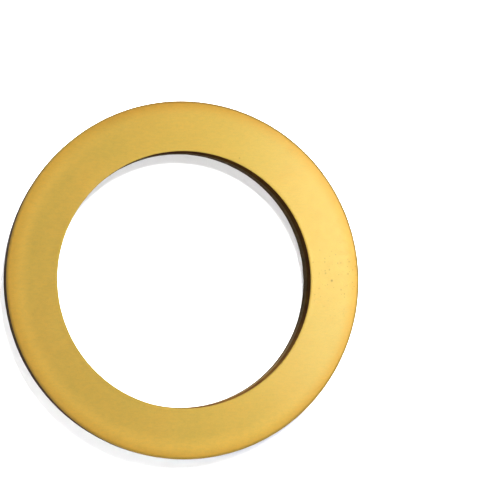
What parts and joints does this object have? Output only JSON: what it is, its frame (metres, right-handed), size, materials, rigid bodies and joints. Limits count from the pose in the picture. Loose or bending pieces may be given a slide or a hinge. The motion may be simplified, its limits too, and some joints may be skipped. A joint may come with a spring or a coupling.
{
  "type": "flat washer",
  "caption": "Plain flat brass washer: a thin, narrow ring with a large round hole and a rolled-over outside edge, for packing out or carrying thrust on a shaft.",
  "frame": {"origin": "centre of the hole, in the plane of the lower face", "axes": "+Z along the hole's axis, from the lower face to the upper face with the rolled-over outside edge; the ring is round, so +X and +Y are any two square directions across it"},
  "size_m": [0.035, 0.035, 0.003],
  "materials": {
    "brass": "matt rolled faces, sheared walls tarnished brown"
  },
  "bodies": {
    "root": {"washer": "brass"}
  },
  "joints": []
}
